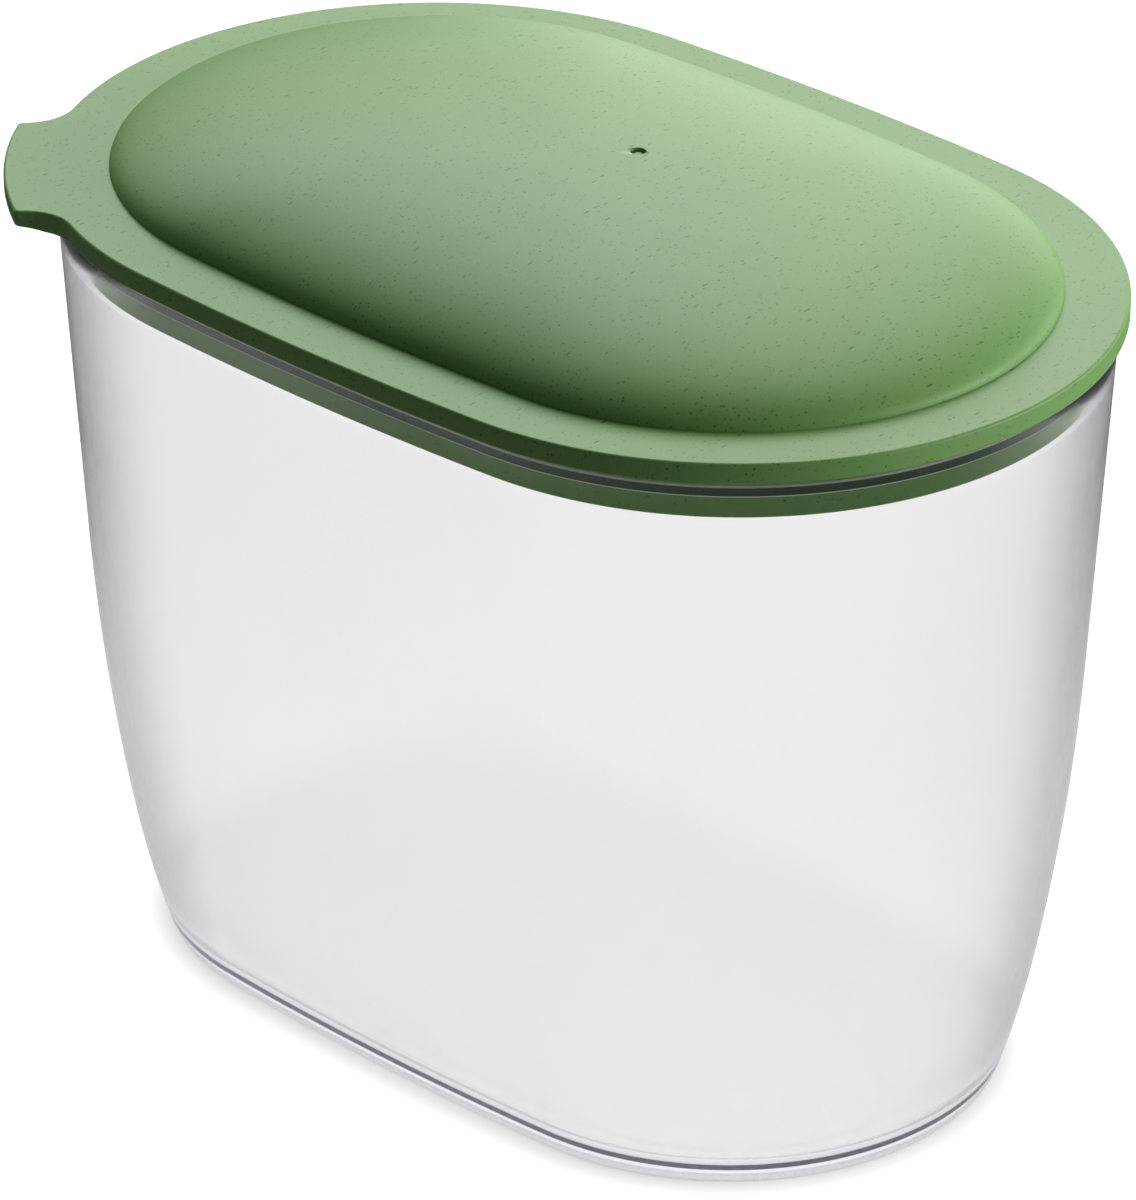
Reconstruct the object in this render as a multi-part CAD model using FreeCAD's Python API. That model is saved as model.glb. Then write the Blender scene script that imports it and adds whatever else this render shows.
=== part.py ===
import FreeCAD, Part
import math
import os

# Storage jar with a plug-in lid: a tapered oval container, a domed lid with a pull tab, and a seal ring
# held in a groove of the lid's plug.
# Millimetres. The origin is on the standing surface under the middle of the jar, +Z is up,
# +X runs along the length and +Y across the width. The pull tab is at the -X end, turned towards -Y.

# Outline of the lid: an oval of two end arcs and two long side arcs, all tangent to one another.
# Every other oval of the jar is this one moved inwards by an inset.
LID_LENGTH = 230.0
LID_WIDTH = 152.6
LID_SIDE_RADIUS = 691.0

# Container
RIM_HEIGHT = 162.5
LID_OVERHANG = 1.8
WALL_DRAFT = 3.2
BELLY_TOP = 88.0
BELLY_RADIUS = 505.0
FOOT_TOP = 25.0
FOOT_RADIUS = 195.0
CONTAINER_WALL = 2.6
CONTAINER_FLOOR = 3.4
INNER_FLOOR_RADIUS = 5.0
BASE_EDGE_RADIUS = 1.4
RIM_EDGE_RADIUS = 0.7
STAND_RING_WIDTH = 9.0
BASE_RECESS = 0.8

# Lid
FLANGE_THICKNESS = 4.2
FLANGE_EDGE_RADIUS = 0.6
FLANGE_UNDER_RADIUS = 0.4
LID_WALL = 2.4
LID_INNER_RADIUS = 1.2
DOME_INSET = 12.4
DOME_HEIGHT = 14.2
PLUG_DEPTH = 9.2
PLUG_WALL = 2.8
PLUG_CLEARANCE = 0.6
PLUG_EDGE_RADIUS = 0.6
GATE_X = 8.0
GATE_Y = 8.0
GATE_DIAMETER = 3.2
GATE_DEPTH = 0.6
GATE_NIB_DIAMETER = 1.3
GATE_NIB_HEIGHT = 0.35

# Pull tab on the rounded end of the lid
TAB_ANGLE = 46.0
TAB_WIDTH = 41.0
TAB_REACH = 8.2
TAB_TIP_THICKNESS = 2.8
TAB_BLEND_RADIUS = 10.0
TAB_CORNER_RADIUS = 1.2
TAB_SIDE_FLAT = 0.2

# Seal ring and its groove
SEAL_DROP = 2.3
SEAL_HEIGHT = 2.5
SEAL_GROOVE_DEPTH = 1.2
SEAL_FIT = 0.05
SEAL_CLEARANCE = 0.15
SEAL_LIP_RADIUS = 0.5

# Steps of the dome's curve, and the share of its foot that is left as the nearly flat crown
DOME_SECTIONS = 10
DOME_CROWN_SHARE = 0.05

UP = FreeCAD.Vector(0, 0, 1)

# How closely an edge has to lie at a place to be taken as being there
NEAR = 0.001

# Values that follow from the sizes above
HALF_LENGTH = LID_LENGTH / 2
HALF_WIDTH = LID_WIDTH / 2
SIDE_CENTRE = LID_SIDE_RADIUS - HALF_WIDTH
END_RADIUS = (LID_SIDE_RADIUS ** 2 - SIDE_CENTRE ** 2 - HALF_LENGTH ** 2) / 2 / (
    LID_SIDE_RADIUS - HALF_LENGTH
)
END_CENTRE = HALF_LENGTH - END_RADIUS
END_HALF_ANGLE = math.degrees(math.atan2(SIDE_CENTRE, END_CENTRE))
FLANGE_TOP = RIM_HEIGHT + FLANGE_THICKNESS
PLUG_BOTTOM = RIM_HEIGHT - PLUG_DEPTH
SEAL_TOP = RIM_HEIGHT - SEAL_DROP
SEAL_BOTTOM = SEAL_TOP - SEAL_HEIGHT


def point(x, y, z):
    return FreeCAD.Vector(x, y, z)


def polar(radius, degrees):
    turn = math.radians(degrees)
    return point(radius * math.cos(turn), radius * math.sin(turn), 0)


def oval_arcs(inset):
    """Centre, radius, start angle and sweep of the four arcs of an oval, anticlockwise from the +X end."""
    end = END_RADIUS - inset
    side = LID_SIDE_RADIUS - inset
    side_sweep = 180 - 2 * END_HALF_ANGLE
    return [
        (point(END_CENTRE, 0, 0), end, -END_HALF_ANGLE, 2 * END_HALF_ANGLE),
        (point(0, -SIDE_CENTRE, 0), side, END_HALF_ANGLE, side_sweep),
        (point(-END_CENTRE, 0, 0), end, 180 - END_HALF_ANGLE, 2 * END_HALF_ANGLE),
        (point(0, SIDE_CENTRE, 0), side, 180 + END_HALF_ANGLE, side_sweep),
    ]


def oval_wire(inset, z, scale=1.0):
    """The oval at an inset from the lid's edge, shrunk about the middle by scale, at height z."""
    edges = []
    for centre, radius, start, sweep in oval_arcs(inset):
        ends = [centre + polar(radius, start + sweep * part) for part in (0, 0.5, 1)]
        ends = [point(spot.x * scale, spot.y * scale, z) for spot in ends]
        edges.append(Part.Arc(*ends).toShape())
    return Part.Wire(edges)


def oval_prism(inset, bottom, top):
    face = Part.Face(oval_wire(inset, bottom))
    return face.extrude(UP * (top - bottom))


def round_the_oval(profile):
    """Solid whose side is a profile carried round the oval, closed by flat faces at its two ends.

    The profile runs upwards as a chain of (inset, height) points. Two points make a straight stretch
    and three make an arc through the middle one.
    """
    faces = []
    for centre, radius, start, sweep in oval_arcs(0):
        for stretch in profile:
            spots = [centre + polar(radius - inset, start) + UP * height for inset, height in stretch]
            curve = Part.LineSegment(*spots) if len(spots) == 2 else Part.Arc(*spots)
            faces.append(curve.toShape().revolve(centre, UP, sweep))
    for inset, height in (profile[0][0], profile[-1][-1]):
        faces.append(Part.Face(oval_wire(inset, height)))
    shell = Part.Shell(faces)
    shell.sewShape()
    solid = Part.Solid(shell)
    if solid.Volume < 0:
        solid.reverse()
    return solid


def edges_at(solid, height):
    """Edges that lie wholly at one height."""
    picked = []
    for edge in solid.Edges:
        box = edge.BoundBox
        if abs(box.ZMin - height) < NEAR and abs(box.ZMax - height) < NEAR:
            picked.append(edge)
    return picked


class Wall:
    """The container's wall as a line in (inset, height): straight draft, belly arc, tighter foot arc.

    A depth of 0 is the outer face, and other depths are parallel to it, further in.
    """

    def __init__(self, depth):
        slope = math.radians(WALL_DRAFT)
        self.slope = slope
        self.depth = depth
        belly_inset = LID_OVERHANG + (RIM_HEIGHT - BELLY_TOP) * math.tan(slope)
        self.belly_centre = (
            belly_inset + BELLY_RADIUS * math.cos(slope),
            BELLY_TOP + BELLY_RADIUS * math.sin(slope),
        )
        self.turn = math.asin((self.belly_centre[1] - FOOT_TOP) / BELLY_RADIUS)
        shift = BELLY_RADIUS - FOOT_RADIUS
        self.foot_centre = (
            self.belly_centre[0] - shift * math.cos(self.turn),
            self.belly_centre[1] - shift * math.sin(self.turn),
        )

    def belly(self, angle):
        radius = BELLY_RADIUS - self.depth
        return (
            self.belly_centre[0] - radius * math.cos(angle),
            self.belly_centre[1] - radius * math.sin(angle),
        )

    def foot(self, angle):
        radius = FOOT_RADIUS - self.depth
        return (
            self.foot_centre[0] - radius * math.cos(angle),
            self.foot_centre[1] - radius * math.sin(angle),
        )

    def straight(self, height):
        """Point of the straight stretch, also carried on above the rim."""
        inset, start = self.belly(self.slope)
        return (inset - (height - start) * math.tan(self.slope), height)

    def profile(self, bottom, corner_radius):
        """The wall from a flat bottom, over a rounded corner, up to the rim."""
        foot_radius = FOOT_RADIUS - self.depth
        centre_z = bottom + corner_radius
        reach = foot_radius - corner_radius
        tangent = math.asin((self.foot_centre[1] - centre_z) / reach)
        centre_inset = self.foot_centre[0] - reach * math.cos(tangent)
        middle = (tangent + math.pi / 2) / 2
        corner_middle = (
            centre_inset - corner_radius * math.cos(middle),
            centre_z - corner_radius * math.sin(middle),
        )
        return [
            ((centre_inset, bottom), corner_middle, self.foot(tangent)),
            (self.foot(tangent), self.foot((tangent + self.turn) / 2), self.foot(self.turn)),
            (self.belly(self.turn), self.belly((self.turn + self.slope) / 2), self.belly(self.slope)),
            (self.belly(self.slope), self.straight(RIM_HEIGHT)),
        ]


def make_container():
    outer_wall = Wall(0)
    outer = round_the_oval(outer_wall.profile(0, BASE_EDGE_RADIUS))
    inner = round_the_oval(Wall(CONTAINER_WALL).profile(CONTAINER_FLOOR, INNER_FLOOR_RADIUS))
    recess_inset = outer_wall.profile(0, BASE_EDGE_RADIUS)[0][0][0] + STAND_RING_WIDTH
    recess = oval_prism(recess_inset, 0, BASE_RECESS)
    solid = outer.cut(inner).cut(recess)
    return solid.makeFillet(RIM_EDGE_RADIUS, edges_at(solid, RIM_HEIGHT))


def plug_line(clearance):
    """Inset at a height of a face that follows the inside of the container's mouth at a clearance."""
    wall = Wall(CONTAINER_WALL + clearance)
    return lambda height: wall.straight(height)[0]


def drafted_plug(clearance, bottom, top):
    line = plug_line(clearance)
    return round_the_oval([((line(bottom), bottom), (line(top), top))])


def dome(inset, foot_height):
    """Elliptical dome: ovals that shrink towards the middle as they rise."""
    sections = []
    crown = math.acos(DOME_CROWN_SHARE)
    for step in range(DOME_SECTIONS):
        rise = crown * step / (DOME_SECTIONS - 1)
        sections.append(oval_wire(inset, foot_height + DOME_HEIGHT * math.sin(rise), math.cos(rise)))
    return Part.makeLoft(sections, True)


def tab_frame():
    """Placement at the end arc's centre with its own X axis along the tab."""
    turn = FreeCAD.Rotation(UP, 180 + TAB_ANGLE)
    return FreeCAD.Placement(point(-END_CENTRE, 0, 0), turn)


def tab_blend_radius(tip_radius):
    """Radius of the blends beside the tab, limited so that each ends before the rounded corner begins."""
    half_width = TAB_WIDTH / 2
    corner_start = math.sqrt((tip_radius - TAB_CORNER_RADIUS) ** 2 - (half_width - TAB_CORNER_RADIUS) ** 2)
    side_length = corner_start - TAB_SIDE_FLAT
    room = (side_length ** 2 + half_width ** 2 - END_RADIUS ** 2) / 2 / (END_RADIUS - half_width)
    return min(TAB_BLEND_RADIUS, room)


def flange_with_tab():
    plate = oval_prism(0, RIM_HEIGHT, FLANGE_TOP)
    tip_radius = END_RADIUS + TAB_REACH
    strip = Part.makeBox(tip_radius, TAB_WIDTH, FLANGE_THICKNESS, point(0, -TAB_WIDTH / 2, RIM_HEIGHT))
    strip = strip.common(Part.makeCylinder(tip_radius, FLANGE_THICKNESS, point(0, 0, RIM_HEIGHT)))
    strip.Placement = tab_frame()
    plate = plate.fuse(strip).removeSplitter()
    plate = plate.makeFillet(tab_blend_radius(tip_radius), tab_edges(plate, END_RADIUS))
    plate = plate.makeFillet(TAB_CORNER_RADIUS, tab_edges(plate, tip_radius))
    plate = plate.cut(tab_underside())
    plate = plate.makeFillet(FLANGE_EDGE_RADIUS, edges_at(plate, FLANGE_TOP))
    return plate.makeFillet(FLANGE_UNDER_RADIUS, lower_edges(plate))


def tab_edges(plate, radius):
    """Upright edges of the plate beside the tab, at a distance from the end arc's centre."""
    picked = []
    for edge in plate.Edges:
        box = edge.BoundBox
        upright = box.ZLength > FLANGE_THICKNESS / 2 and max(box.XLength, box.YLength) < NEAR
        spot = tab_frame().inverse().multVec(edge.CenterOfMass)
        at_side = spot.x > 0 and abs(abs(spot.y) - TAB_WIDTH / 2) < NEAR
        if upright and at_side and abs(math.hypot(spot.x, spot.y) - radius) < NEAR:
            picked.append(edge)
    return picked


def lower_edges(plate):
    """Outer edges of the plate's underside, round the flange and the tab."""
    picked = []
    for edge in plate.Edges:
        below = edge.BoundBox.ZMax < FLANGE_TOP - FLANGE_EDGE_RADIUS - NEAR
        upright = edge.BoundBox.ZLength > TAB_TIP_THICKNESS / 2
        across = len(edge.Vertexes) == 2 and is_root_line(edge)
        if below and not upright and not across:
            picked.append(edge)
    return picked


def is_root_line(edge):
    """Whether an edge is the line across the underside where the tab begins to thin."""
    spots = [tab_frame().inverse().multVec(vertex.Point) for vertex in edge.Vertexes]
    return all(abs(spot.x - END_RADIUS) < NEAR for spot in spots)


def tab_underside():
    """Wedge that thins the tab from the flange's edge to its tip."""
    drop = FLANGE_THICKNESS - TAB_TIP_THICKNESS
    length = 2 * TAB_REACH
    corners = [
        point(END_RADIUS, 0, RIM_HEIGHT),
        point(END_RADIUS + length, 0, RIM_HEIGHT),
        point(END_RADIUS + length, 0, RIM_HEIGHT + drop * length / TAB_REACH),
    ]
    outline = Part.Face(Part.makePolygon(corners + corners[:1]))
    width = 2 * TAB_WIDTH
    wedge = outline.extrude(point(0, width, 0))
    wedge.translate(point(0, -width / 2, 0))
    wedge.Placement = tab_frame().multiply(wedge.Placement)
    return wedge


def gate_mark():
    """Small round recess with a nib in the middle, left by moulding."""
    level = oval_level(GATE_X, GATE_Y)
    surface = FLANGE_TOP + DOME_HEIGHT * math.sqrt(1 - level ** 2)
    floor = surface - GATE_DEPTH
    well = Part.makeCylinder(GATE_DIAMETER / 2, 2 * GATE_DEPTH, point(GATE_X, GATE_Y, floor))
    nib = Part.makeCylinder(GATE_NIB_DIAMETER / 2, GATE_NIB_HEIGHT, point(GATE_X, GATE_Y, floor))
    return well.cut(nib)


def oval_level(x, y):
    """Share of the dome's foot oval, measured from the middle, on which a point near the middle lies."""
    return math.hypot(x / (HALF_LENGTH - DOME_INSET), y / (HALF_WIDTH - DOME_INSET))


def make_lid():
    plug = drafted_plug(PLUG_CLEARANCE, PLUG_BOTTOM, RIM_HEIGHT)
    plug = plug.makeFillet(PLUG_EDGE_RADIUS, edges_at(plug, PLUG_BOTTOM))
    groove = oval_prism(0, SEAL_BOTTOM, SEAL_TOP).cut(
        drafted_plug(PLUG_CLEARANCE + SEAL_GROOVE_DEPTH, SEAL_BOTTOM, SEAL_TOP)
    )
    hollow_inset = plug_line(PLUG_CLEARANCE + PLUG_WALL)(RIM_HEIGHT)
    ceiling = FLANGE_TOP - LID_WALL
    hollow = oval_prism(hollow_inset, PLUG_BOTTOM, ceiling)
    hollow = hollow.makeFillet(LID_INNER_RADIUS, edges_at(hollow, ceiling))
    under_dome = dome(DOME_INSET + LID_WALL, ceiling)
    solid = flange_with_tab().fuse([dome(DOME_INSET, FLANGE_TOP), plug.cut(groove)])
    solid = solid.cut([hollow.fuse(under_dome), gate_mark()])
    return solid.removeSplitter()


def make_seal_ring():
    top = SEAL_TOP - SEAL_FIT
    bottom = SEAL_BOTTOM + SEAL_FIT
    outer = drafted_plug(SEAL_CLEARANCE, bottom, top)
    outer = outer.makeFillet(SEAL_LIP_RADIUS, edges_at(outer, bottom) + edges_at(outer, top))
    return outer.cut(drafted_plug(PLUG_CLEARANCE + SEAL_GROOVE_DEPTH - SEAL_FIT, bottom, top))


PIECES = {
    "container": make_container,
    "lid": make_lid,
    "seal_ring": make_seal_ring,
}


def main():
    os.makedirs("parts", exist_ok=True)
    for name, make in PIECES.items():
        shape = make()
        solid = shape.Solids[0]
        print(name, "solids", len(shape.Solids), "valid", solid.isValid(), "volume", round(solid.Volume, 1))
        solid.exportStep("parts/" + name + ".step")


main()
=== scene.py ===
"""Looks of an oval storage jar: a see-through container, frosted inside, with a speckled green plug-in lid.

Metres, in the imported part's frame: +Z up, +X along the jar, +Y across it, and the pull tab at the -X end.
"""

import logging
import math
from dataclasses import dataclass, field
from enum import Enum
from typing import Iterable

import bmesh
import bpy
from bmesh.types import BMEdge, BMesh, BMVert
from mathutils import Matrix, Vector


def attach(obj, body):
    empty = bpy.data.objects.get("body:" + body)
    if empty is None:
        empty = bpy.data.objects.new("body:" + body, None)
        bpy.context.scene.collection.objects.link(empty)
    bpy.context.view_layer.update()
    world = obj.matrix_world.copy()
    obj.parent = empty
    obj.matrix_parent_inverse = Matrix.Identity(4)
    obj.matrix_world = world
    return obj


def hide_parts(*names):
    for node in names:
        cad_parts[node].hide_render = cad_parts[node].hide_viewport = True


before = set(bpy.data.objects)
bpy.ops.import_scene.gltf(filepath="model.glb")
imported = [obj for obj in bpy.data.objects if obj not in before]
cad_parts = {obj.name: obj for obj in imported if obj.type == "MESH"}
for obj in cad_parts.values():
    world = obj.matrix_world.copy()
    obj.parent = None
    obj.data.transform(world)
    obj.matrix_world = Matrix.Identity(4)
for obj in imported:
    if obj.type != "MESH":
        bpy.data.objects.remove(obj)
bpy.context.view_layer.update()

MM = 0.001
NEAR = 0.001 * MM
UP = Vector((0, 0, 1))
ACROSS = Vector((0, 1, 0))
CRISP_ANGLE = math.radians(32)
FROST_LAYER = "frost"
# Attribute that marks where the seal's lips carry a painted highlight.
LIP_HIGHLIGHT_LAYER = "lip"
WHITE = (1.0, 1.0, 1.0, 1.0)
ROUND_PROFILE = 0.5
FIRST_BOUNCE = 0.5

log = logging.getLogger("storage_jar")


class Body(Enum):
    """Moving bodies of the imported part."""

    CONTAINER = "container"
    LID = "lid"


class Slot(Enum):
    """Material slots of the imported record."""

    CLEAR = "clear_frosted_plastic"
    GREEN = "speckled_green_plastic"
    SEAL = "seal_silicone"


def picked(geometry: Iterable, kind: type) -> list:
    """Members of one kind among mixed mesh geometry."""
    return [item for item in geometry if isinstance(item, kind)]


def edges_at(bm: BMesh, height: float) -> list[BMEdge]:
    """Edges of a mesh that lie at one height."""
    return [edge for edge in bm.edges if all(abs(v.co.z - height) < NEAR for v in edge.verts)]


class Pen:
    """Draws a chain of edges: straight strokes are extruded and round ones are spun."""

    def __init__(self, bm: BMesh, start: Vector, axis: Vector) -> None:
        """Set the pen down.

        Args:
            bm: Mesh to draw in.
            start: First point of the chain.
            axis: Direction about which round strokes turn.
        """
        self.bm = bm
        self.axis = axis
        self.tip: BMVert = bmesh.ops.create_vert(bm, co=start)["vert"][0]

    def line(self, end: Vector, steps: int = 1) -> "Pen":
        """Draw a straight stroke.

        Args:
            end: Point to draw to.
            steps: Number of equal edges.

        Returns:
            The pen, for the next stroke.
        """
        stroke = (end - self.tip.co) / steps
        for _ in range(steps):
            self.tip = bmesh.ops.extrude_vert_indiv(self.bm, verts=[self.tip])["verts"][0]
            bmesh.ops.translate(self.bm, verts=[self.tip], vec=stroke)
        return self

    def arc(self, centre: Vector, turn: float, steps: int) -> "Pen":
        """Draw a round stroke.

        Args:
            centre: Point to turn about.
            turn: Signed angle in radians, about the pen's axis.
            steps: Number of equal edges.

        Returns:
            The pen, for the next stroke.
        """
        spun = bmesh.ops.spin(
            self.bm, geom=[self.tip], cent=centre, axis=self.axis, angle=turn, steps=steps
        )
        self.tip = picked(spun["geom_last"], BMVert)[0]
        return self


@dataclass(frozen=True)
class Arc:
    """One of the four arcs of an oval."""

    centre: Vector
    turn: float
    steps: int


@dataclass(frozen=True)
class Oval:
    """Outline of the lid's edge: two end arcs and two long side arcs, tangent to one another.

    Every other oval of the jar is this one moved inwards by an inset.
    """

    length: float = 230.0 * MM
    width: float = 152.6 * MM
    side_radius: float = 691.0 * MM
    end_steps: int = 88
    side_steps: int = 28

    @property
    def side_centre(self) -> float:
        """Distance of a side arc's centre from the middle."""
        return self.side_radius - self.width / 2

    @property
    def end_radius(self) -> float:
        """Radius of an end arc that is tangent to the side arcs."""
        half = self.length / 2
        return (self.side_radius**2 - self.side_centre**2 - half**2) / 2 / (self.side_radius - half)

    @property
    def end_centre(self) -> float:
        """Distance of an end arc's centre from the middle."""
        return self.length / 2 - self.end_radius

    @property
    def end_turn(self) -> float:
        """Angle of an end arc."""
        return 2 * math.atan2(self.side_centre, self.end_centre)

    def arcs(self) -> list[Arc]:
        """The four arcs, anticlockwise from the start of the +X end."""
        side_turn = math.pi - self.end_turn
        return [
            Arc(Vector((self.end_centre, 0, 0)), self.end_turn, self.end_steps),
            Arc(Vector((0, -self.side_centre, 0)), side_turn, self.side_steps),
            Arc(Vector((-self.end_centre, 0, 0)), self.end_turn, self.end_steps),
            Arc(Vector((0, self.side_centre, 0)), side_turn, self.side_steps),
        ]

    def start(self, inset: float, height: float) -> Vector:
        """First point of the +X end arc."""
        turned = Matrix.Rotation(-self.end_turn / 2, 3, UP) @ Vector((self.end_radius - inset, 0, 0))
        return self.arcs()[0].centre + turned + UP * height

    def spot(self, inset: float, height: float) -> Vector:
        """Point of a profile that is drawn at the tip of the +X end."""
        return Vector((self.length / 2 - inset, 0, height))

    def carry(self, bm: BMesh) -> None:
        """Carry a profile round the whole oval.

        Args:
            bm: Mesh that holds nothing but the profile, drawn at the tip of the +X end.
        """
        arcs = self.arcs()
        back = Matrix.Rotation(-self.end_turn / 2, 3, UP)
        bmesh.ops.rotate(bm, verts=bm.verts[:], cent=arcs[0].centre, matrix=back)
        profile = bm.verts[:] + bm.edges[:]
        for arc in arcs:
            spun = bmesh.ops.spin(
                bm, geom=profile, cent=arc.centre, axis=UP, angle=arc.turn, steps=arc.steps
            )
            profile = spun["geom_last"]
        bmesh.ops.remove_doubles(bm, verts=bm.verts[:], dist=NEAR)


OVAL = Oval()


class Shell:
    """A mesh in the making, put together from parts and made into a piece."""

    def __init__(self) -> None:
        """Start with an empty mesh."""
        self.bm = bmesh.new()

    def take(self, part: BMesh) -> None:
        """Add a part's geometry and free the part."""
        mesh = bpy.data.meshes.new("part")
        part.to_mesh(mesh)
        part.free()
        self.bm.from_mesh(mesh)
        bpy.data.meshes.remove(mesh)

    def join(self) -> None:
        """Merge the parts where they meet."""
        bmesh.ops.remove_doubles(self.bm, verts=self.bm.verts[:], dist=NEAR)

    def open_edges(self, height: float) -> list[BMEdge]:
        """Edges at one height that lack a face on one side."""
        return [edge for edge in edges_at(self.bm, height) if len(edge.link_faces) < 2]

    def fill_level(self, height: float) -> None:
        """Fill the flat region between the open loops at one height."""
        bmesh.ops.triangle_fill(
            self.bm, use_beauty=True, use_dissolve=False, edges=self.open_edges(height), normal=UP
        )

    def piece(self, name: str) -> bpy.types.Object:
        """Make the mesh into an object in the frame.

        Args:
            name: Name of the piece.

        Returns:
            The new object, smooth but for its crisp edges.
        """
        self.join()
        bmesh.ops.recalc_face_normals(self.bm, faces=self.bm.faces[:])
        for face in self.bm.faces:
            face.smooth = True
        for edge in self.bm.edges:
            edge.smooth = not edge.is_manifold or edge.calc_face_angle() < CRISP_ANGLE
        mesh = bpy.data.meshes.new(name)
        self.bm.to_mesh(mesh)
        self.bm.free()
        made = bpy.data.objects.new(name, mesh)
        bpy.context.scene.collection.objects.link(made)
        return made


def even_flats(piece: bpy.types.Object) -> None:
    """Let large flat faces set the shading along their rounded edges."""
    modifier = piece.modifiers.new("even_flats", "WEIGHTED_NORMAL")
    modifier.keep_sharp = True


def settle(piece: bpy.types.Object, body: Body, node: str) -> None:
    """Tie a piece to the frame.

    Args:
        piece: Finished piece.
        body: Body that it moves with.
        node: Solid that it stands for.
    """
    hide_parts(node)
    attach(piece, body.value)
    log.info("%s: %d faces", piece.name, len(piece.data.polygons))


class NodeBoard:
    """Adds nodes to one node tree and links them."""

    def __init__(self, tree: bpy.types.NodeTree) -> None:
        """Take the tree to work on."""
        self.tree = tree

    def add(self, kind: str, inputs: dict | None = None, **settings: object) -> bpy.types.Node:
        """Add a node.

        Args:
            kind: Blender's name of the node type.
            inputs: Socket names with a value, or with a socket to link from.
            settings: Properties of the node.

        Returns:
            The new node.
        """
        node = self.tree.nodes.new(kind)
        for name, value in settings.items():
            setattr(node, name, value)
        for name, value in (inputs or {}).items():
            if isinstance(value, bpy.types.NodeSocket):
                self.tree.links.new(value, node.inputs[name])
            else:
                node.inputs[name].default_value = value
        return node

    def math(self, operation: str, one: object, other: object) -> bpy.types.NodeSocket:
        """Result of one sum of two values or sockets."""
        return self.add("ShaderNodeMath", {0: one, 1: other}, operation=operation).outputs["Value"]

    def span(self, value: bpy.types.NodeSocket, low: float, high: float) -> bpy.types.NodeSocket:
        """A share from 0 to 1, laid out between two values."""
        inputs = {"Value": value, "To Min": low, "To Max": high}
        return self.add("ShaderNodeMapRange", inputs).outputs["Result"]

    def blend(self, factor: bpy.types.NodeSocket, one: object, other: object) -> bpy.types.NodeSocket:
        """Mixture of two colours."""
        inputs = {"Factor": factor, "A": one, "B": other}
        return self.add("ShaderNodeMix", inputs, data_type="RGBA").outputs["Result"]

    def facing(self, way: bpy.types.NodeSocket, side: tuple) -> bpy.types.NodeSocket:
        """How far a direction faces a side, from -1 to 1."""
        return self.add("ShaderNodeVectorMath", {0: way, 1: side}, operation="DOT_PRODUCT").outputs["Value"]

    def grain(self, tree: bpy.types.NodeTree, place: bpy.types.NodeSocket, finish: object) -> bpy.types.Node:
        """Place the moulded grain at a finish's own scales."""
        inputs = {"Vector": place, "Grain Scale": finish.grain_scale, "Drift Scale": finish.drift_scale}
        return self.add("ShaderNodeGroup", inputs, node_tree=tree)

    def bump(self, height: bpy.types.NodeSocket, finish: object) -> bpy.types.NodeSocket:
        """Normal of a surface with a finish's own bumps."""
        inputs = {"Height": height, "Strength": finish.bump_strength, "Distance": finish.bump_height}
        return self.add("ShaderNodeBump", inputs).outputs["Normal"]


def new_material(name: str) -> tuple[bpy.types.Material, NodeBoard, bpy.types.Node]:
    """Start a material.

    Args:
        name: Name of the finish.

    Returns:
        The material, a board for its nodes, and its output node.
    """
    material = bpy.data.materials.new(name)
    material.use_nodes = True
    material.node_tree.nodes.clear()
    board = NodeBoard(material.node_tree)
    return material, board, board.add("ShaderNodeOutputMaterial")


GRAIN_DETAIL = {"Detail": 3.0, "Roughness": 0.6}
DRIFT_DETAIL = {"Detail": 2.0, "Roughness": 0.5}


def moulded_grain() -> bpy.types.NodeTree:
    """Fine grain of a moulded surface, as a height and a slow drift, shared by the three finishes.

    Returns:
        A node group with the outputs Height and Drift, both about 0 to 1.
    """
    tree = bpy.data.node_groups.new("moulded_grain", "ShaderNodeTree")
    face = tree.interface
    face.new_socket("Vector", in_out="INPUT", socket_type="NodeSocketVector")
    face.new_socket("Grain Scale", in_out="INPUT", socket_type="NodeSocketFloat")
    face.new_socket("Drift Scale", in_out="INPUT", socket_type="NodeSocketFloat")
    face.new_socket("Height", in_out="OUTPUT", socket_type="NodeSocketFloat")
    face.new_socket("Drift", in_out="OUTPUT", socket_type="NodeSocketFloat")
    board = NodeBoard(tree)
    given = board.add("NodeGroupInput").outputs
    place = {"Vector": given["Vector"]}
    grain = board.add("ShaderNodeTexNoise", place | {"Scale": given["Grain Scale"]} | GRAIN_DETAIL)
    drift = board.add("ShaderNodeTexNoise", place | {"Scale": given["Drift Scale"]} | DRIFT_DETAIL)
    board.add("NodeGroupOutput", {"Height": grain.outputs["Fac"], "Drift": drift.outputs["Fac"]})
    return tree


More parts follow.
